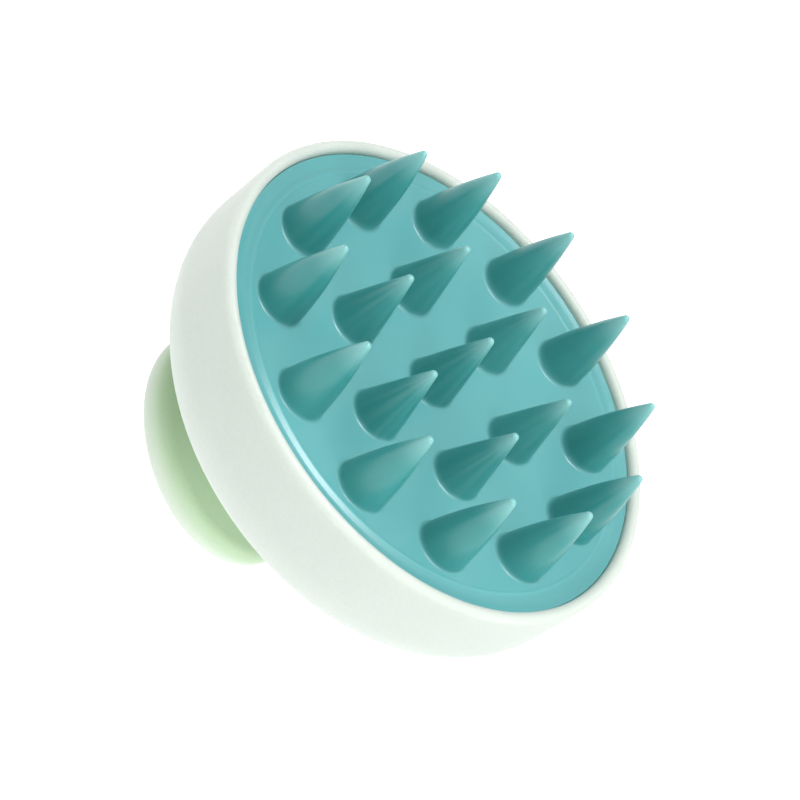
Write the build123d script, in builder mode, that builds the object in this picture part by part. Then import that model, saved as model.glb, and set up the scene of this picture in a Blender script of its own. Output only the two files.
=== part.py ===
"""Scalp massager brush: a soft bristle pad on a rigid plate in a round bowl, with a leaning knob handle.

Frame: +Z up along the handle's axis, origin at the centre of the knob's flat end, so the brush stands
on its handle with the bristles up. The brush head leans HEAD_TILT towards +X. Millimetres.
Dimensions named *_LEVEL are measured along the head's own axis from the centre of its rim, and those
named *_HEIGHT above a flat end or face.
"""

import os
from math import asin, cos, hypot, pi, radians, sin, tan

from build123d import *

os.makedirs("parts", exist_ok=True)

# ---- driving dimensions: head and bowl -----------------------------------------------------------
HEAD_TILT = 17.0  # angle between the handle's axis and the head's axis, degrees
HEAD_HEIGHT = 39.8  # height of the head's centre above the knob's flat end

BOWL_RADIUS = 38.0
BOWL_WALL = 2.1
RIM_WALL = 1.9
RIM_LEVEL = 2.1  # crest of the rounded rim
RIM_ROUND = 0.94  # just under half the rim's wall
BACK_LEVEL = -20.2  # crown of the bowl's back
BACK_DOME_RADIUS = 152.0
SHOULDER_RADIUS = 9.2

COLLAR_RADIUS = 10.6
COLLAR_BLEND = 2.4
COLLAR_RUN = 12.0  # far enough to end inside the bowl before it is hollowed
POCKET_RADIUS = 9.3

REST_COUNT = 8
REST_DEPTH = 3.0
REST_THICKNESS = 1.6
REST_HEIGHT = 5.3
REST_ROOT = 0.3  # how far a rest runs into the bowl's wall
REST_GAP = 0.3

# ---- driving dimensions: bristle pad --------------------------------------------------------------
PAD_GAP = 0.2  # gap between the pad and the rim
PAD_CENTRE_LEVEL = -1.45  # lowest point of the dished face
PAD_BACK_LEVEL = -3.6
DISH_RADIUS = 250.0
RIDGE_RADIUS = 33.1  # low ridge that borders the dished face
RIDGE_LEVEL = 0.8
RIDGE_BLEND = 0.45
CHANNEL_RADIUS = 34.25  # shallow channel between the ridge and the rim
CHANNEL_LEVEL = 0.48
EDGE_LEVEL = 0.9
EDGE_SLOPE = 0.3
EDGE_ROUND = 0.25
SKIRT_LEVEL = -7.0
SKIRT_LIP = 2.0

OUTER_RING_RADIUS = 28.0
INNER_RING_RADIUS = 14.8
OUTER_COUNT = 12
INNER_COUNT = 6
BASE_RADIUS = 4.0
OUTER_TOP_LEVEL = 14.65
INNER_TOP_LEVEL = 11.7
OUTER_TIP_LEAN = 18.5  # angle between a bristle's side and its axis where the round tip starts, degrees
INNER_TIP_LEAN = 16.5
TIP_ROUND = 0.6
BRISTLE_FILLET = 0.5
BASE_ALLOWANCE = 0.3  # allowance on the base radius when picking the base edges

# ---- driving dimensions: backing plate ------------------------------------------------------------
PLATE_THICKNESS = 2.0
PLATE_RADIUS = 33.8
HUB_RADIUS = 4.5
RIB_HEIGHT = 3.0
RIB_THICKNESS = 1.4
RIB_INNER_RADIUS = 3.0
RIB_OUTER_RADIUS = 30.3

PEG_COUNT = 3
PEG_RADIUS = 1.5
PEG_HEIGHT = 1.3
PEG_CLEARANCE = 0.08
PEG_END_GAP = 0.2

PIN_COUNT = 4
PIN_RING_RADIUS = 24.0
PIN_RADIUS = 2.0
PIN_FOOT_RADIUS = 3.2
PIN_CLEARANCE = 0.08
PIN_CHAMFER = 0.5
PIN_END_LEVEL = -14.6
PIN_END_GAP = 0.6
SOCKET_TOP_LEVEL = -9.5
SOCKET_RADIUS = 3.7

# ---- driving dimensions: handle, cap and screws -----------------------------------------------------
KNOB_RADIUS = 17.75
KNOB_EDGE_HEIGHT = 5.0
KNOB_PALM_ROUND = 2.8
KNOB_FRONT_ROUND = 2.1
KNOB_WALL = 1.9
NECK_HEIGHT = 6.9  # where the knob's sloping underside meets the stem
NECK_ROUND = 3.2
STEM_RADIUS = 8.3
STEM_TOP_RADIUS = 10.4
STEM_BORE_RADIUS = 3.4
STEM_BORE_HEIGHT = 12.4
FLARE_HEIGHT = 10.9
FLARE_ROUND = 5.0
SEAT_HEIGHT = 15.4  # plane where the stem meets the bowl's collar
SEAT_THICKNESS = 2.6
SPIGOT_RADIUS = 2.6
SPIGOT_HEIGHT = 2.0
SPIGOT_CLEARANCE = 0.05

CAP_RADIUS = 14.0
CAP_THICKNESS = 2.0
CAP_CHAMFER = 0.3
CAP_GAP = 0.15
CAP_SEAT_RADIUS = 13.1
CAP_RING_RADIUS = 13.0
CAP_RING_WALL = 1.2
CAP_RING_HEIGHT = 1.0

SCREW_COUNT = 3
SCREW_RING_RADIUS = 5.7
SCREW_RADIUS = 1.5
SCREW_LENGTH = 9.0
SCREW_POINT = 0.9
SCREW_HOLE_RADIUS = 1.7
SCREW_HEAD_RADIUS = 2.7
SCREW_HEAD_HEIGHT = 1.8
SCREW_HEAD_ROUND = 0.6
RECESS_LENGTH = 2.8
RECESS_WIDTH = 0.7
RECESS_DEPTH = 1.0
PILOT_RADIUS = 1.25
PILOT_DEPTH = 7.2

# ---- shared planes, radii and levels ----------------------------------------------------------------
head_plane = Plane.XY.offset(HEAD_HEIGHT).rotated((0, HEAD_TILT, 0))
head_axis = Axis(head_plane.origin, head_plane.z_dir)
# half-section through the head: x is the distance from its axis, y is the level along it
head_section = Plane(head_plane.origin, x_dir=head_plane.x_dir, z_dir=-head_plane.y_dir)

rim_inner_radius = BOWL_RADIUS - RIM_WALL
plate_back_level = PAD_BACK_LEVEL - PLATE_THICKNESS
pocket_height = SEAT_HEIGHT + SEAT_THICKNESS

CENTRED_BASE = (Align.CENTER, Align.CENTER, Align.MIN)
CENTRED_TOP = (Align.CENTER, Align.CENTER, Align.MAX)


def dish_level(radius):
    """Level of the pad's dished face at a distance from its axis."""
    return PAD_CENTRE_LEVEL + DISH_RADIUS - (DISH_RADIUS**2 - radius**2) ** 0.5


def back_level(radius, wall=0.0):
    """Level of the bowl's back, or of its floor a wall thickness above, at a distance from its axis."""
    dome = BACK_DOME_RADIUS - wall
    return BACK_LEVEL + BACK_DOME_RADIUS - (dome**2 - radius**2) ** 0.5


def level_curve(start, start_slope, end, end_slope):
    """Curve between two points of the head's half-section, with a given slope at each end."""
    third = (end[0] - start[0]) / 3
    Bezier(
        start,
        (start[0] + third, start[1] + start_slope * third),
        (end[0] - third, end[1] - end_slope * third),
        end,
    )


def bristle(x, y, base_level, top_level, tip_lean):
    """A tapered bristle with a round tip, its sides bowed slightly out, rooted at the back of the pad."""
    foot = head_plane.from_local_coords((x, y, 0))
    tip_slope = tan(radians(tip_lean))
    tip_radius = TIP_ROUND * cos(radians(tip_lean))
    tip_level = top_level - TIP_ROUND * (1 - sin(radians(tip_lean)))
    # the side is a parabola: its slope grows from the base to the tip's own lean
    rise = tip_level - base_level
    base_slope = 2 * (BASE_RADIUS - tip_radius) / rise - tip_slope
    bow = (tip_slope - base_slope) / (2 * rise)
    root_depth = base_level - PAD_BACK_LEVEL
    root_radius = BASE_RADIUS + base_slope * root_depth - bow * root_depth**2
    middle_level = (tip_level + PAD_BACK_LEVEL) / 2
    middle_radius = tip_radius + tip_slope * (tip_level - middle_level)
    section = Plane(foot, x_dir=head_plane.x_dir, z_dir=-head_plane.y_dir)
    with BuildSketch(section, mode=Mode.PRIVATE) as half:
        with BuildLine():
            side = Bezier(
                (root_radius, PAD_BACK_LEVEL),
                (middle_radius, middle_level),
                (tip_radius, tip_level),
            )
            tip = RadiusArc((tip_radius, tip_level), (0, top_level), -TIP_ROUND)
            Polyline(tip @ 1, (0, PAD_BACK_LEVEL), side @ 0)
        make_face()
    revolve(half.sketch, axis=Axis(foot, head_plane.z_dir))


def ring_points(radius, count, start_angle=0.0):
    """Points of a ring in the head's plane."""
    angles = [start_angle + 2 * pi * index / count for index in range(count)]
    return [(radius * cos(angle), radius * sin(angle)) for angle in angles]


# ---- bristle pad: one silicone moulding with its bristles ---------------------------------------------
pad_radius = rim_inner_radius - PAD_GAP
dish_edge_radius = RIDGE_RADIUS - RIDGE_BLEND
dish_angle = asin(dish_edge_radius / DISH_RADIUS)
lip_radius = PLATE_RADIUS - SKIRT_LIP

with BuildPart(head_plane) as bristle_pad:
    with BuildSketch(head_section):
        with BuildLine():
            face = Spline(
                (0, PAD_CENTRE_LEVEL),
                (dish_edge_radius / 2, dish_level(dish_edge_radius / 2)),
                (dish_edge_radius, dish_level(dish_edge_radius)),
                tangents=[(1, 0), (cos(dish_angle), sin(dish_angle))],
            )
            ridge = (RIDGE_RADIUS, RIDGE_LEVEL)
            channel = (CHANNEL_RADIUS, CHANNEL_LEVEL)
            edge = (pad_radius - EDGE_ROUND, EDGE_LEVEL)
            level_curve((dish_edge_radius, dish_level(dish_edge_radius)), tan(dish_angle), ridge, 0)
            level_curve(ridge, 0, channel, 0)
            level_curve(channel, 0, edge, EDGE_SLOPE)
            RadiusArc(edge, (pad_radius, EDGE_LEVEL - EDGE_ROUND), EDGE_ROUND)
            Polyline(
                (pad_radius, EDGE_LEVEL - EDGE_ROUND),
                (pad_radius, SKIRT_LEVEL),
                (lip_radius, SKIRT_LEVEL),
                (lip_radius, plate_back_level),
                (PLATE_RADIUS, plate_back_level),
                (PLATE_RADIUS, PAD_BACK_LEVEL),
                (0, PAD_BACK_LEVEL),
                face @ 0,
            )
        make_face()
    revolve(axis=head_axis)
    for x, y in ring_points(OUTER_RING_RADIUS, OUTER_COUNT, pi / OUTER_COUNT):
        bristle(x, y, dish_level(OUTER_RING_RADIUS), OUTER_TOP_LEVEL, OUTER_TIP_LEAN)
    for x, y in ring_points(INNER_RING_RADIUS, INNER_COUNT) + [(0, 0)]:
        bristle(x, y, dish_level(hypot(x, y)), INNER_TOP_LEVEL, INNER_TIP_LEAN)
    shortest_base = 2 * pi * (BASE_RADIUS - BASE_ALLOWANCE)
    longest_base = 2 * pi * (BASE_RADIUS + BASE_ALLOWANCE)
    bases = bristle_pad.edges().filter_by(lambda e: shortest_base < e.length < longest_base)
    fillet(bases, BRISTLE_FILLET)
    # blind sockets on the back, under every second inner bristle, that key the pad to its plate
    with Locations((0, 0, PAD_BACK_LEVEL)):
        with PolarLocations(INNER_RING_RADIUS, PEG_COUNT):
            Cylinder(
                PEG_RADIUS + PEG_CLEARANCE,
                PEG_HEIGHT + PEG_END_GAP,
                align=CENTRED_BASE,
                mode=Mode.SUBTRACT,
            )
bristle_pad.part.label = "bristle_pad"
export_step(bristle_pad.part, "parts/bristle_pad.step")

# ---- backing plate: rigid disc held inside the pad's skirt, with ribs and friction pins ---------------
with BuildPart(head_plane) as backing_plate:
    with Locations((0, 0, PAD_BACK_LEVEL)):
        Cylinder(PLATE_RADIUS, PLATE_THICKNESS, align=CENTRED_TOP)
        with PolarLocations(INNER_RING_RADIUS, PEG_COUNT):
            Cylinder(PEG_RADIUS, PEG_HEIGHT, align=CENTRED_BASE)
    with Locations((0, 0, plate_back_level)):
        Cylinder(HUB_RADIUS, RIB_HEIGHT, align=CENTRED_TOP)
        with PolarLocations((RIB_INNER_RADIUS + RIB_OUTER_RADIUS) / 2, PIN_COUNT):
            Box(RIB_OUTER_RADIUS - RIB_INNER_RADIUS, RIB_THICKNESS, RIB_HEIGHT, align=CENTRED_TOP)
        with PolarLocations(PIN_RING_RADIUS, PIN_COUNT, start_angle=180 / PIN_COUNT):
            Cylinder(PIN_FOOT_RADIUS, RIB_HEIGHT, align=CENTRED_TOP)
            Cylinder(PIN_RADIUS, plate_back_level - PIN_END_LEVEL, align=CENTRED_TOP)
    pin_ends = backing_plate.edges().filter_by(GeomType.CIRCLE).sort_by(head_axis)[:PIN_COUNT]
    chamfer(pin_ends, PIN_CHAMFER)
backing_plate.part.label = "backing_plate"
export_step(backing_plate.part, "parts/backing_plate.step")

# ---- bowl shell: wall, rounded rim and back, with rests and sockets for the head -----------------------
back_angle = asin(BOWL_RADIUS / BACK_DOME_RADIUS)
collar_girth = 2 * pi * COLLAR_RADIUS
longest_girth = 1.3 * collar_girth  # the collar meets the leaning back in an oval
rest_centre_radius = rim_inner_radius + REST_ROOT - REST_DEPTH / 2
socket_root_level = back_level(PIN_RING_RADIUS) + BOWL_WALL / 2
socket_depth = SOCKET_TOP_LEVEL - PIN_END_LEVEL + PIN_END_GAP

with BuildPart(head_plane) as bowl_shell:
    # solid outer form, with the collar that carries the stem
    with BuildSketch(head_section) as bowl_outline:
        with BuildLine():
            back = Spline(
                (0, BACK_LEVEL),
                (BOWL_RADIUS / 2, back_level(BOWL_RADIUS / 2)),
                (BOWL_RADIUS, back_level(BOWL_RADIUS)),
                tangents=[(1, 0), (cos(back_angle), sin(back_angle))],
            )
            Polyline(back @ 1, (BOWL_RADIUS, RIM_LEVEL), (0, RIM_LEVEL), back @ 0)
        make_face()
        fillet(bowl_outline.vertices().sort_by(Axis.Y)[1], SHOULDER_RADIUS)
    revolve(axis=head_axis)
    with BuildSketch(Plane.XY.offset(SEAT_HEIGHT)):
        Circle(COLLAR_RADIUS)
    extrude(amount=COLLAR_RUN)
    collar_edge = bowl_shell.edges().filter_by(lambda e: collar_girth < e.length < longest_girth)
    fillet(collar_edge.sort_by(Axis.Z)[-1], COLLAR_BLEND)
    # hollow inside: a floor that follows the back, and a bore that takes the pad's skirt
    with BuildSketch(head_section) as hollow_outline:
        with BuildLine():
            floor = Spline(
                (0, BACK_LEVEL + BOWL_WALL),
                (rim_inner_radius / 2, back_level(rim_inner_radius / 2, BOWL_WALL)),
                (rim_inner_radius, back_level(rim_inner_radius, BOWL_WALL)),
                tangents=[(1, 0), (cos(back_angle), sin(back_angle))],
            )
            Polyline(floor @ 1, (rim_inner_radius, RIM_LEVEL), (0, RIM_LEVEL), floor @ 0)
        make_face()
        fillet(hollow_outline.vertices().sort_by(Axis.Y)[1], SHOULDER_RADIUS - BOWL_WALL)
    revolve(axis=head_axis, mode=Mode.SUBTRACT)
    fillet(bowl_shell.faces().sort_by(head_axis)[-1].edges(), RIM_ROUND)
    # rests under the skirt, and sockets for the plate's pins
    with Locations((0, 0, SKIRT_LEVEL - REST_GAP)):
        with PolarLocations(rest_centre_radius, REST_COUNT):
            Box(REST_DEPTH, REST_THICKNESS, REST_HEIGHT, align=CENTRED_TOP)
    with Locations((0, 0, SOCKET_TOP_LEVEL)):
        with PolarLocations(PIN_RING_RADIUS, PIN_COUNT, start_angle=180 / PIN_COUNT):
            Cylinder(SOCKET_RADIUS, SOCKET_TOP_LEVEL - socket_root_level, align=CENTRED_TOP)
            Cylinder(PIN_RADIUS + PIN_CLEARANCE, socket_depth, align=CENTRED_TOP, mode=Mode.SUBTRACT)
    # pocket for the screw heads, their holes, and the hole that centres the stem
    with BuildSketch(Plane.XY.offset(pocket_height)):
        Circle(POCKET_RADIUS)
    extrude(amount=COLLAR_RUN, mode=Mode.SUBTRACT)
    with BuildSketch(Plane.XY.offset(SEAT_HEIGHT)):
        with PolarLocations(SCREW_RING_RADIUS, SCREW_COUNT):
            Circle(SCREW_HOLE_RADIUS)
        Circle(SPIGOT_RADIUS + SPIGOT_CLEARANCE)
    extrude(amount=SEAT_THICKNESS, mode=Mode.SUBTRACT)
bowl_shell.part.label = "bowl_shell"
export_step(bowl_shell.part, "parts/bowl_shell.step")


def round_corner(sketch, corner, radius):
    """Fillet the corner of a sketch that is nearest to a point."""
    fillet(sketch.vertices().sort_by_distance(corner)[0], radius)


# ---- handle: knob and waisted stem in one hollow moulding -----------------------------------------------
with BuildPart() as handle_stem:
    with BuildSketch(Plane.XZ) as handle_outline:
        Polygon(
            (0, 0),
            (KNOB_RADIUS, 0),
            (KNOB_RADIUS, KNOB_EDGE_HEIGHT),
            (STEM_RADIUS, NECK_HEIGHT),
            (STEM_RADIUS, FLARE_HEIGHT),
            (STEM_TOP_RADIUS, SEAT_HEIGHT),
            (0, SEAT_HEIGHT),
            align=None,
        )
        round_corner(handle_outline, (KNOB_RADIUS, 0), KNOB_PALM_ROUND)
        round_corner(handle_outline, (KNOB_RADIUS, KNOB_EDGE_HEIGHT), KNOB_FRONT_ROUND)
        round_corner(handle_outline, (STEM_RADIUS, NECK_HEIGHT), NECK_ROUND)
        round_corner(handle_outline, (STEM_RADIUS, FLARE_HEIGHT), FLARE_ROUND)
    revolve(axis=Axis.Z)
    # cavity behind the palm cap, with the cap's recess at its mouth
    with BuildSketch(Plane.XZ):
        Polygon(
            (0, 0),
            (CAP_RADIUS + CAP_GAP, 0),
            (CAP_RADIUS + CAP_GAP, CAP_THICKNESS),
            (CAP_SEAT_RADIUS, CAP_THICKNESS),
            (CAP_SEAT_RADIUS, KNOB_EDGE_HEIGHT - KNOB_WALL),
            (STEM_BORE_RADIUS, NECK_HEIGHT - KNOB_WALL),
            (STEM_BORE_RADIUS, STEM_BORE_HEIGHT),
            (0, STEM_BORE_HEIGHT),
            align=None,
        )
    revolve(axis=Axis.Z, mode=Mode.SUBTRACT)
    with BuildSketch(Plane.XY.offset(SEAT_HEIGHT)):
        Circle(SPIGOT_RADIUS)
    extrude(amount=SPIGOT_HEIGHT)
    with BuildSketch(Plane.XY.offset(SEAT_HEIGHT)):
        with PolarLocations(SCREW_RING_RADIUS, SCREW_COUNT):
            Circle(PILOT_RADIUS)
    extrude(amount=-PILOT_DEPTH, mode=Mode.SUBTRACT)
handle_stem.part.label = "handle_stem"
export_step(handle_stem.part, "parts/handle_stem.step")

# ---- palm cap: plug that closes the knob and gives the flat end it stands on ----------------------------
with BuildPart() as palm_cap:
    with BuildSketch():
        Circle(CAP_RADIUS)
    extrude(amount=CAP_THICKNESS)
    chamfer(palm_cap.faces().sort_by(Axis.Z)[0].edges(), CAP_CHAMFER)
    with BuildSketch(Plane.XY.offset(CAP_THICKNESS)):
        Circle(CAP_RING_RADIUS)
        Circle(CAP_RING_RADIUS - CAP_RING_WALL, mode=Mode.SUBTRACT)
    extrude(amount=CAP_RING_HEIGHT)
palm_cap.part.label = "palm_cap"
export_step(palm_cap.part, "parts/palm_cap.step")

# ---- handle screws: self-tapping, from inside the bowl down into the stem --------------------------------
with BuildPart() as handle_screws:
    with BuildSketch(Plane.XY.offset(pocket_height)):
        with PolarLocations(SCREW_RING_RADIUS, SCREW_COUNT):
            Circle(SCREW_HEAD_RADIUS)
    extrude(amount=SCREW_HEAD_HEIGHT)
    fillet(handle_screws.faces().group_by(Axis.Z)[-1].edges(), SCREW_HEAD_ROUND)
    with BuildSketch(Plane.XY.offset(pocket_height + SCREW_HEAD_HEIGHT)):
        with PolarLocations(SCREW_RING_RADIUS, SCREW_COUNT):
            Rectangle(RECESS_LENGTH, RECESS_WIDTH)
            Rectangle(RECESS_WIDTH, RECESS_LENGTH)
    extrude(amount=-RECESS_DEPTH, mode=Mode.SUBTRACT)
    with BuildSketch(Plane.XY.offset(pocket_height)):
        with PolarLocations(SCREW_RING_RADIUS, SCREW_COUNT):
            Circle(SCREW_RADIUS)
    extrude(amount=-SCREW_LENGTH)
    chamfer(handle_screws.faces().group_by(Axis.Z)[0].edges(), SCREW_POINT)
handle_screws.part.label = "handle_screws"
export_step(handle_screws.part, "parts/handle_screws.step")
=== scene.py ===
from collections import namedtuple
from math import atan, cos, hypot, pi, radians, sin, tan

import bpy
from mathutils import Matrix, Vector
from mathutils.geometry import delaunay_2d_cdt


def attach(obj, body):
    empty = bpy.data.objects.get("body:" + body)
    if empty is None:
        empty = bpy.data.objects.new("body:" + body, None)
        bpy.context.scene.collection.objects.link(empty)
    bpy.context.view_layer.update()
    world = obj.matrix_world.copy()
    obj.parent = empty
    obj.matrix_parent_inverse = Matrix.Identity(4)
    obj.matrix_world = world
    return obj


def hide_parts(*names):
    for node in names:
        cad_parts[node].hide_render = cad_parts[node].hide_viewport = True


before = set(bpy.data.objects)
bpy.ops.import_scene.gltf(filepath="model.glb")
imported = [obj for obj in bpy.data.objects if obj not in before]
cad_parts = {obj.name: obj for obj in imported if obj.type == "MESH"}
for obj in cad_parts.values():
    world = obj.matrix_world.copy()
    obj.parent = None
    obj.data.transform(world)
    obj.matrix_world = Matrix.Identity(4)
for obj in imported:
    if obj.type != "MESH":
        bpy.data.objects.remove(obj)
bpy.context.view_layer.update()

MM = 0.001

# ---- the head's own frame: its axis leans from the handle's, and a level is a height along that axis
# above the head's centre, which lies 2.1 mm below the crest of the bowl's rim
HEAD_TILT = radians(17.0)
HEAD_CENTRE = Vector((0.0, 0.0, 39.8 * MM))
HEAD = Matrix.Translation(HEAD_CENTRE) @ Matrix.Rotation(HEAD_TILT, 4, "Y")

# ---- bristle pad, millimetres in the head's frame
PAD_RADIUS = 35.9
PAD_CENTRE_LEVEL = -1.45
PAD_BACK_LEVEL = -3.6
DISH_RADIUS = 250.0  # of the sphere that the dished face is part of
DISH_EDGE_RADIUS = 32.65
RIDGE = (33.1, 0.80)  # distance from the axis and level of the ridge's crest
CHANNEL = (34.25, 0.48)  # the same for the lowest line of the channel
EDGE_LEVEL = 0.9
EDGE_SLOPE = 0.3
EDGE_ROUND = 0.12
EDGE_RADIUS = 36.03  # a little further out than the skirt, so that the gap to the rim is a hairline
EDGE_HEIGHT = 1.0  # of the edge with its rounding, and again of the taper from it to the skirt
SKIRT_LEVEL = -7.0
SKIRT_ROUND = 0.3
LIP_RADIUS = 31.8
PLATE_RADIUS = 33.8
PLATE_BACK_LEVEL = -5.6
BASE_RADIUS = 4.0
TIP_ROUND = 0.6
BRISTLE_FILLET = 0.5
SLOPE_FADE_HEIGHT = 2 * BRISTLE_FILLET  # over which the slope of the dish fades out of a bristle
RINGS = (
    # count, ring radius, tip level, lean of the side at the tip and turn of the first one in degrees
    (12, 28.0, 14.65, 18.5, 15.0),
    (6, 14.8, 11.7, 16.5, 0.0),
    (1, 0.0, 11.7, 16.5, 0.0),
)

# ---- how finely the pad is divided
PAD_SEGMENTS = 320
CURVE_STEPS = 9
BRISTLE_SEGMENTS = 64
FILLET_STEPS = 8
SIDE_STEPS = 14
TIP_STEPS = 8
FACE_STEP = 1.15  # between neighbouring points of the face, which lie in staggered rows
ROW_STEP = 0.866  # between the rows, as a share of the step
EDGE_CLEARANCE = 0.7  # from the face's edge to the nearest staggered point
FOOT_RING_GAP = 0.5  # from a bristle's foot to the ring of points around it
FOOT_CLEARANCE = 0.95  # from a bristle's foot to the nearest staggered point
FOOT_SHARE = 0.9995  # of a foot's radius; a triangle whose centre is nearer lies under the bristle
MERGE_DISTANCE = 1e-5

Foot = namedtuple("Foot", "x y level radius profile height loop")


class MeshMaker:
    """Collects vertices, faces and one number per vertex, and turns them into an object."""

    def __init__(self):
        self.verts = []
        self.marks = []
        self.faces = []

    def point(self, x, y, z, mark=0.0):
        self.verts.append((x, y, z))
        self.marks.append(mark)
        return len(self.verts) - 1

    def bridge(self, lower, upper):
        """Quads between two closed loops of the same length, facing out for loops that turn left."""
        n = len(lower)
        for i in range(n):
            j = (i + 1) % n
            self.faces.append((lower[i], lower[j], upper[j], upper[i]))

    def cap(self, loop, centre):
        """Triangles from a closed loop to a point in its middle."""
        n = len(loop)
        for i in range(n):
            self.faces.append((loop[i], loop[(i + 1) % n], centre))

    def build(self, name, matrix):
        mesh = bpy.data.meshes.new(name)
        mesh.from_pydata([matrix @ (Vector(v) * MM) for v in self.verts], [], self.faces)
        mark = mesh.attributes.new("mark", "FLOAT", "POINT")
        mark.data.foreach_set("value", self.marks)
        mesh.update()
        mesh.polygons.foreach_set("use_smooth", [True] * len(mesh.polygons))
        obj = bpy.data.objects.new(name, mesh)
        bpy.context.scene.collection.objects.link(obj)
        return obj


def circle(radius, count, cx=0.0, cy=0.0, turn=0.0):
    angles = [turn + 2 * pi * i / count for i in range(count)]
    return [(cx + radius * cos(a), cy + radius * sin(a)) for a in angles]


def dish_level(radius):
    """Level of the pad's dished face at a distance from its axis."""
    return PAD_CENTRE_LEVEL + DISH_RADIUS - (DISH_RADIUS**2 - radius**2) ** 0.5


def level_curve(start, start_slope, end, end_slope):
    """(distance from the head's axis, level) along a curve with a given slope at each end."""
    run = end[0] - start[0]
    rows = []
    for i in range(1, CURVE_STEPS + 1):
        t = i / CURVE_STEPS
        rise = (3 - 2 * t) * t * t
        level = start[1] + (end[1] - start[1]) * rise
        level += run * (start_slope * t * (1 - t) ** 2 - end_slope * t * t * (1 - t))
        rows.append((start[0] + run * t, level))
    return rows


def bristle_profile(base_level, tip_level, tip_lean):
    """A bristle's foot radius, its outline and its height.

    The outline has rows of (distance from the bristle's axis, height, 0 at the foot to 1 at the tip).
    """
    tip_slope = tan(tip_lean)
    tip_radius = TIP_ROUND * cos(tip_lean)
    rise = tip_level - TIP_ROUND * (1 - sin(tip_lean)) - base_level
    base_slope = 2 * (BASE_RADIUS - tip_radius) / rise - tip_slope
    bow = (tip_slope - base_slope) / (2 * rise)
    base_lean = atan(base_slope)
    fillet = BRISTLE_FILLET
    foot_radius = BASE_RADIUS + (fillet - fillet * sin(base_lean)) / cos(base_lean)
    rows = []
    for i in range(FILLET_STEPS + 1):
        a = (pi / 2 - base_lean) * i / FILLET_STEPS
        rows.append((foot_radius - fillet * sin(a), fillet - fillet * cos(a)))
    start = rows[-1][1]
    offset = rows[-1][0] - (BASE_RADIUS - base_slope * start - bow * start**2)
    for i in range(1, SIDE_STEPS + 1):
        t = i / SIDE_STEPS
        h = start + (rise - start) * t
        rows.append((BASE_RADIUS - base_slope * h - bow * h**2 + offset * (1 - t), h))
    round_centre = tip_level - TIP_ROUND - base_level
    for i in range(1, TIP_STEPS):
        a = tip_lean + (pi / 2 - tip_lean) * i / TIP_STEPS
        rows.append((TIP_ROUND * cos(a), round_centre + TIP_ROUND * sin(a)))
    height = tip_level - base_level
    return foot_radius, [(r, h, h / height) for r, h in rows], height


def face_plan():
    """Points of the face seen along the axis, with the edge's points first, and the bristles' feet."""
    points = circle(DISH_EDGE_RADIUS, PAD_SEGMENTS)
    feet = []
    for count, ring_radius, tip_level, tip_lean, turn in RINGS:
        level = dish_level(ring_radius)
        radius, profile, height = bristle_profile(level, tip_level, radians(tip_lean))
        for x, y in circle(ring_radius, count, turn=radians(turn)):
            loop = list(range(len(points), len(points) + BRISTLE_SEGMENTS))
            points += circle(radius, BRISTLE_SEGMENTS, x, y)
            if ring_radius + radius + FOOT_RING_GAP < DISH_EDGE_RADIUS:
                points += circle(radius + FOOT_RING_GAP, BRISTLE_SEGMENTS, x, y, pi / BRISTLE_SEGMENTS)
            feet.append(Foot(x, y, level, radius, profile, height, loop))
    rows = int(DISH_EDGE_RADIUS / (FACE_STEP * ROW_STEP)) + 1
    for j in range(-rows, rows + 1):
        for i in range(-rows, rows + 1):
            x = (i + 0.5 * (j % 2)) * FACE_STEP
            y = j * FACE_STEP * ROW_STEP
            if hypot(x, y) > DISH_EDGE_RADIUS - EDGE_CLEARANCE:
                continue
            if all(hypot(x - foot.x, y - foot.y) > foot.radius + FOOT_CLEARANCE for foot in feet):
                points.append((x, y))
    return points, feet


def grow_bristle(maker, foot, ring_below):
    """Rings from a bristle's foot to its tip; the slope of the dish fades out on the way up."""
    for radius, height, along in foot.profile[1:]:
        slope_left = max(0.0, 1.0 - height / SLOPE_FADE_HEIGHT)
        ring_here = []
        for x, y in circle(radius, BRISTLE_SEGMENTS, foot.x, foot.y):
            slope = (dish_level(hypot(x, y)) - foot.level) * slope_left
            ring_here.append(maker.point(x, y, foot.level + slope + height, along))
        maker.bridge(ring_below, ring_here)
        ring_below = ring_here
    maker.cap(ring_below, maker.point(foot.x, foot.y, foot.level + foot.height, 1.0))


def edge_and_skirt():
    """(distance from the axis, level) from the ridge over edge and skirt to the groove for the plate."""
    dish_slope = DISH_EDGE_RADIUS / (DISH_RADIUS**2 - DISH_EDGE_RADIUS**2) ** 0.5
    dish_edge = (DISH_EDGE_RADIUS, dish_level(DISH_EDGE_RADIUS))
    edge = (EDGE_RADIUS - EDGE_ROUND, EDGE_LEVEL)
    rows = level_curve(dish_edge, dish_slope, RIDGE, 0.0)
    rows += level_curve(RIDGE, 0.0, CHANNEL, 0.0)
    rows += level_curve(CHANNEL, 0.0, edge, EDGE_SLOPE)
    for i in range(1, CURVE_STEPS + 1):
        a = pi / 2 * i / CURVE_STEPS
        rows.append((edge[0] + EDGE_ROUND * sin(a), EDGE_LEVEL - EDGE_ROUND + EDGE_ROUND * cos(a)))
    rows += [
        (EDGE_RADIUS, EDGE_LEVEL - EDGE_HEIGHT),
        (PAD_RADIUS, EDGE_LEVEL - 2 * EDGE_HEIGHT),
        (PAD_RADIUS, SKIRT_LEVEL + SKIRT_ROUND),
        (PAD_RADIUS - SKIRT_ROUND, SKIRT_LEVEL),
        (LIP_RADIUS + SKIRT_ROUND, SKIRT_LEVEL),
        (LIP_RADIUS, SKIRT_LEVEL + SKIRT_ROUND),
        (LIP_RADIUS, PLATE_BACK_LEVEL),
        (PLATE_RADIUS, PLATE_BACK_LEVEL),
        (PLATE_RADIUS, PAD_BACK_LEVEL),
    ]
    return rows


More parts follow.
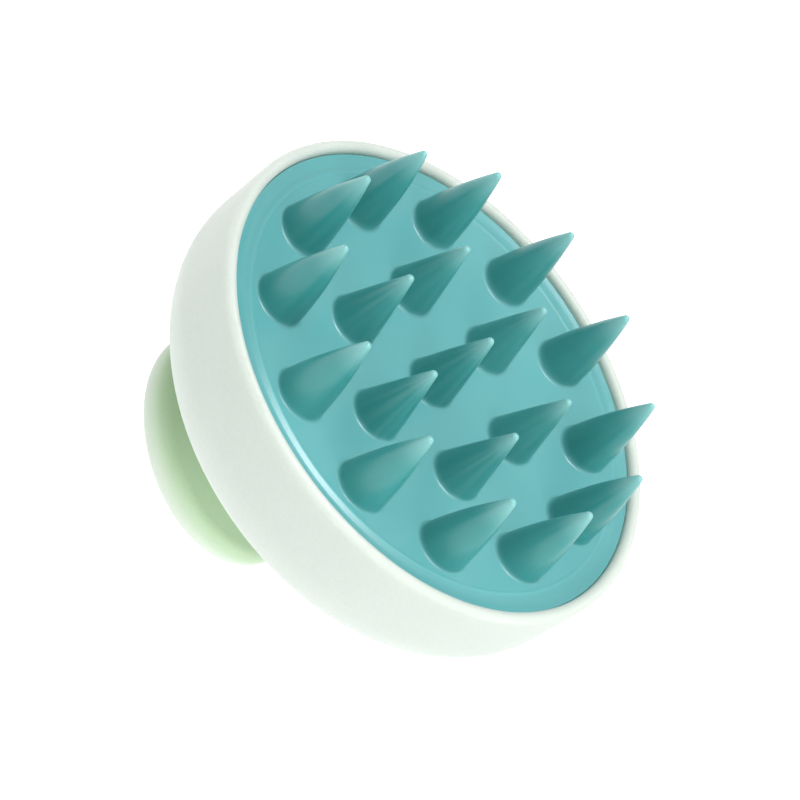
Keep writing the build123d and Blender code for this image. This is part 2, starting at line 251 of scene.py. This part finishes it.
def bristle_pad():
    """The whole silicone moulding as one closed mesh."""
    maker = MeshMaker()
    points, feet = face_plan()
    edge_loop = list(range(PAD_SEGMENTS))
    loops = [edge_loop] + [foot.loop for foot in feet]
    sides = [side for loop in loops for side in zip(loop, loop[1:] + loop[:1])]
    flat, _, triangles, origins, _, _ = delaunay_2d_cdt(
        [Vector(p) for p in points], sides, [], 0, MERGE_DISTANCE
    )
    number = {old: new for new, olds in enumerate(origins) for old in olds}
    for p in flat:
        maker.point(p.x, p.y, dish_level(p.length))
    for triangle in triangles:
        centre = sum((flat[i] for i in triangle), Vector((0.0, 0.0))) / 3
        under_bristle = any(
            hypot(centre.x - foot.x, centre.y - foot.y) < foot.radius * FOOT_SHARE for foot in feet
        )
        if not under_bristle:
            maker.faces.append(tuple(triangle))
    for foot in feet:
        grow_bristle(maker, foot, [number[i] for i in foot.loop])
    outer = [number[i] for i in edge_loop]
    for radius, level in edge_and_skirt():
        here = [maker.point(x, y, level) for x, y in circle(radius, PAD_SEGMENTS)]
        maker.bridge(here, outer)
        outer = here
    maker.cap(list(reversed(outer)), maker.point(0, 0, PAD_BACK_LEVEL))
    return maker.build("bristle_pad_silicone", HEAD)


# ---- building blocks of the materials; noise scales are per metre
FINE_GRAIN = 3200.0
NOISE_MIDDLE = (0.3, 0.7)  # the usual part of a noise's range for a change of colour or roughness
MIX_AMOUNT, MIX_FIRST, MIX_SECOND, MIX_RESULT = 0, 6, 7, 2  # sockets of a Mix node for colours


def nodes_of(name, **values):
    """A material with its Principled shader; numbers and plain colours are set on the shader itself."""
    material = bpy.data.materials.new(name)
    material.use_nodes = True
    tree = material.node_tree
    shader = tree.nodes["Principled BSDF"]
    for key, value in values.items():
        shader.inputs[key.replace("_", " ")].default_value = value
    return material, tree, shader


def add(tree, kind, **values):
    node = tree.nodes.new(kind)
    for key, value in values.items():
        node.inputs[key.replace("_", " ")].default_value = value
    return node


def object_place(tree):
    return tree.nodes.new("ShaderNodeTexCoord").outputs["Object"]


def noise(tree, scale, detail, roughness=0.55):
    place = object_place(tree)
    node = add(tree, "ShaderNodeTexNoise", Scale=scale, Detail=detail, Roughness=roughness)
    tree.links.new(place, node.inputs["Vector"])
    return node.outputs["Fac"]


def drift(tree, source, dark, light):
    """A colour that eases from dark to light with a noise."""
    node = tree.nodes.new("ShaderNodeValToRGB")
    node.color_ramp.interpolation = "EASE"
    for element, place, colour in zip(node.color_ramp.elements, NOISE_MIDDLE, (dark, light)):
        element.position = place
        element.color = (*colour, 1.0)
    tree.links.new(source, node.inputs["Fac"])
    return node.outputs["Color"]


def mixed(tree, amount, first, second, blend="MIX"):
    """Goes from first to second by amount; second is another node's output or a plain colour."""
    node = tree.nodes.new("ShaderNodeMix")
    node.data_type = "RGBA"
    node.blend_type = blend
    tree.links.new(amount, node.inputs[MIX_AMOUNT])
    tree.links.new(first, node.inputs[MIX_FIRST])
    if isinstance(second, tuple):
        node.inputs[MIX_SECOND].default_value = (*second, 1.0)
    else:
        tree.links.new(second, node.inputs[MIX_SECOND])
    return node.outputs[MIX_RESULT]


def ranged(tree, source, span, results):
    """Goes smoothly from the first result to the second while the source crosses the span."""
    node = tree.nodes.new("ShaderNodeMapRange")
    node.interpolation_type = "SMOOTHSTEP"
    for socket, value in zip(("From Min", "From Max", "To Min", "To Max"), (*span, *results)):
        node.inputs[socket].default_value = value
    tree.links.new(source, node.inputs["Value"])
    return node.outputs["Result"]


def bumped(tree, shader, height, strength, distance):
    """Gives the shader's surface a bump, distance in metres."""
    node = add(tree, "ShaderNodeBump", Strength=strength, Distance=distance)
    tree.links.new(height, node.inputs["Height"])
    tree.links.new(node.outputs["Normal"], shader.inputs["Normal"])


# ---- materials
def silicone():
    """Teal silicone: painted shade deepens the bristles and a painted highlight pales their tips; its colour
    and roughness drift.
    """
    material, tree, shader = nodes_of(
        "silicone_teal",
        Subsurface_Weight=0.35,
        Subsurface_Radius=(0.5, 1.0, 1.0),
        Subsurface_Scale=1.6 * MM,
        Specular_IOR_Level=0.5,
    )
    mark = tree.nodes.new("ShaderNodeAttribute")
    mark.attribute_name = "mark"
    along = mark.outputs["Fac"]
    broad = noise(tree, scale=45.0, detail=1.0, roughness=0.4)
    face = drift(tree, broad, dark=(0.099, 0.338, 0.342), light=(0.116, 0.374, 0.377))
    # painted shade: the bristles get a deeper, darker teal than the face, standing in for the shade on their
    # sides
    bristle_shade_share = ranged(tree, along, span=(0.0, 0.08), results=(0.0, 1.0))
    bristle = drift(tree, broad, dark=(0.033, 0.234, 0.228), light=(0.047, 0.272, 0.265))
    colour = mixed(tree, bristle_shade_share, face, bristle)
    # painted highlight: towards the tip the teal pales, standing in for light shining through and off the
    # thin tips
    tip_highlight = ranged(tree, along, span=(0.6, 1.1), results=(0.0, 0.75))
    colour = mixed(tree, tip_highlight, colour, (0.26, 0.52, 0.50))
    roughness = ranged(tree, broad, span=(0.25, 0.75), results=(0.28, 0.33))
    tree.links.new(colour, shader.inputs["Base Color"])
    tree.links.new(roughness, shader.inputs["Roughness"])
    bumped(tree, shader, noise(tree, FINE_GRAIN, detail=2.0), strength=0.04, distance=0.03 * MM)
    return material


def moulded(name, dark, light, rough_range, grain=0.1, subsurface=0.15, lit_edge_colour=None, lit_edge_heights=None):
    """Moulded plastic: slow colour drift, a fine matte grain and slightly uneven roughness.

    rough_range is the lowest and the highest roughness, and grain the strength of the bump. lit_edge_colour
    is a painted highlight: a paler band at the foot of the piece, standing in for light on its rounded edge,
    which fades out between the two lit_edge_heights.
    """
    material, tree, shader = nodes_of(
        name,
        Subsurface_Weight=subsurface,
        Subsurface_Radius=(1.0, 1.0, 0.8),
        Subsurface_Scale=3.0 * MM,
        Specular_IOR_Level=0.45,
    )
    colour = drift(tree, noise(tree, scale=28.0, detail=3.0), dark, light)
    speckle = noise(tree, scale=2200.0, detail=2.0)
    darker = ranged(tree, speckle, span=(0.35, 0.65), results=(0.0, 0.06))
    colour = mixed(tree, darker, colour, dark, "MULTIPLY")
    # painted highlight: a pale band at the foot, standing in for the light on the knob's rounded edge
    if lit_edge_colour:
        split = tree.nodes.new("ShaderNodeSeparateXYZ")
        tree.links.new(object_place(tree), split.inputs["Vector"])
        lit_edge_share = ranged(tree, split.outputs["Z"], lit_edge_heights, results=(1.0, 0.0))
        colour = mixed(tree, lit_edge_share, colour, lit_edge_colour)
    roughness = ranged(tree, noise(tree, scale=90.0, detail=4.0), NOISE_MIDDLE, rough_range)
    tree.links.new(colour, shader.inputs["Base Color"])
    tree.links.new(roughness, shader.inputs["Roughness"])
    bumped(tree, shader, noise(tree, FINE_GRAIN, detail=3.0), strength=grain, distance=0.04 * MM)
    return material


def steel():
    """Zinc-plated steel with small patches of colour and roughness."""
    material, tree, shader = nodes_of("screw_zinc", Metallic=1.0, Anisotropic=0.3)
    patches = noise(tree, scale=700.0, detail=4.0)
    colour = drift(tree, patches, dark=(0.46, 0.46, 0.44), light=(0.62, 0.62, 0.60))
    roughness = ranged(tree, patches, NOISE_MIDDLE, results=(0.28, 0.42))
    tree.links.new(colour, shader.inputs["Base Color"])
    tree.links.new(roughness, shader.inputs["Roughness"])
    bumped(tree, shader, noise(tree, scale=2500.0, detail=2.0), strength=0.15, distance=0.05 * MM)
    return material


def shell_mint():
    return moulded(
        "shell_mint",
        dark=(0.488, 0.546, 0.499),
        light=(0.512, 0.566, 0.523),
        rough_range=(0.42, 0.52),
        subsurface=0.6,
    )


def handle_sage_with_painted_light():
    # the sage green is partly a greener tint of the plastic and partly painted shade and green bounced light
    # of the knob's shaded underside; the pale band at the foot is a painted highlight of the lit rounded
    # edge
    return moulded(
        "handle_sage_with_painted_light",
        dark=(0.42, 0.575, 0.37),
        light=(0.45, 0.60, 0.40),
        rough_range=(0.40, 0.50),
        lit_edge_colour=(0.60, 0.68, 0.585),
        lit_edge_heights=(1.6 * MM, 5.0 * MM),
    )


def cap_mint():
    return moulded(
        "cap_mint",
        dark=(0.59, 0.665, 0.595),
        light=(0.62, 0.69, 0.62),
        rough_range=(0.45, 0.55),
        grain=0.16,
    )


def plate_white():
    return moulded(
        "plate_white",
        dark=(0.57, 0.625, 0.575),
        light=(0.60, 0.65, 0.60),
        rough_range=(0.50, 0.60),
    )


def paint(node, material):
    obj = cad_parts[node]
    obj.data.materials.clear()
    obj.data.materials.append(material)


pad = bristle_pad()
pad.data.materials.append(silicone())
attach(pad, "brush_head")
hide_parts("bristle_pad")

paint("bowl_shell", shell_mint())
paint("handle_stem", handle_sage_with_painted_light())
paint("palm_cap", cap_mint())
paint("backing_plate", plate_white())
paint("handle_screws", steel())

# ---- floor: a white ground just below the knob's flat end
FLOOR_HALF = 4.0
FLOOR_LEVEL = -0.05 * MM
FLOOR_GLOW = 0.85
FLOOR_CORNERS = ((-1, -1), (1, -1), (1, 1), (-1, 1))
floor_mesh = bpy.data.meshes.new("floor")
floor_mesh.from_pydata(
    [(x * FLOOR_HALF, y * FLOOR_HALF, FLOOR_LEVEL) for x, y in FLOOR_CORNERS],
    [],
    [(0, 1, 2, 3)],
)
floor = bpy.data.objects.new("floor", floor_mesh)
bpy.context.scene.collection.objects.link(floor)
floor_material, _, _ = nodes_of(
    "floor_white",
    Base_Color=(0.45, 0.45, 0.45, 1.0),
    Roughness=0.9,
    Specular_IOR_Level=0.1,
    Emission_Color=(1.0, 1.0, 1.0, 1.0),
    Emission_Strength=FLOOR_GLOW,
)
floor_mesh.materials.append(floor_material)

# ---- light: round softboxes at one distance from the head, which they face, in a white world
LIGHT_DISTANCE = 0.9
WORLD_STRENGTH = 0.47
WHITE = (1.0, 1.0, 1.0)
LAVENDER = (1.0, 0.95, 1.0)
SOFTBOXES = (
    # name, direction from the head, diameter in metres, watts and colour
    ("key", (0.2376, -0.1224, 0.9636), 0.28, 5.2, LAVENDER),
    ("top", (0.34, 0.08, 0.94), 0.7, 2.9, WHITE),
    ("lower_right", (-0.25, 0.85, 0.43), 0.6, 3.1, WHITE),
    ("right", (-0.85, 0.35, 0.40), 0.5, 2.7, WHITE),
    ("front", (0.50, 0.80, 0.35), 0.45, 0.9, WHITE),
)


def softbox(name, direction, diameter, watts, colour):
    light = bpy.data.lights.new(name, "AREA")
    light.shape = "DISK"
    light.size = diameter
    light.energy = watts
    light.color = colour
    obj = bpy.data.objects.new(name, light)
    bpy.context.scene.collection.objects.link(obj)
    toward = Vector(direction).normalized()
    obj.location = HEAD_CENTRE + toward * LIGHT_DISTANCE
    obj.rotation_mode = "QUATERNION"
    obj.rotation_quaternion = toward.to_track_quat("Z", "Y")


for box in SOFTBOXES:
    softbox(*box)

world = bpy.data.worlds.new("studio")
bpy.context.scene.world = world
world.use_nodes = True
background = world.node_tree.nodes["Background"]
background.inputs["Color"].default_value = (*WHITE, 1.0)
background.inputs["Strength"].default_value = WORLD_STRENGTH

# ---- camera: the brush seen from above its front, rolled so that its bristles point up to the right
CAMERA_PLACE = Vector((0.1787, 0.2430, 0.2018))
CAMERA_RIGHT = Vector((-0.52451, -0.18919, 0.83012))
CAMERA_UP = Vector((0.67432, -0.68756, 0.26936))
FOCAL_LENGTH = 110.0
SENSOR_WIDTH = 36.0
camera_data = bpy.data.cameras.new("camera")
camera_data.lens = FOCAL_LENGTH
camera_data.sensor_width = SENSOR_WIDTH
camera = bpy.data.objects.new("camera", camera_data)
bpy.context.scene.collection.objects.link(camera)
camera_back = CAMERA_RIGHT.cross(CAMERA_UP).normalized()
axes = zip(CAMERA_RIGHT, CAMERA_UP, camera_back, CAMERA_PLACE)
camera.matrix_world = Matrix([*axes, (0, 0, 0, 1)])
bpy.context.scene.camera = camera
bpy.context.scene.view_settings.view_transform = "Standard"
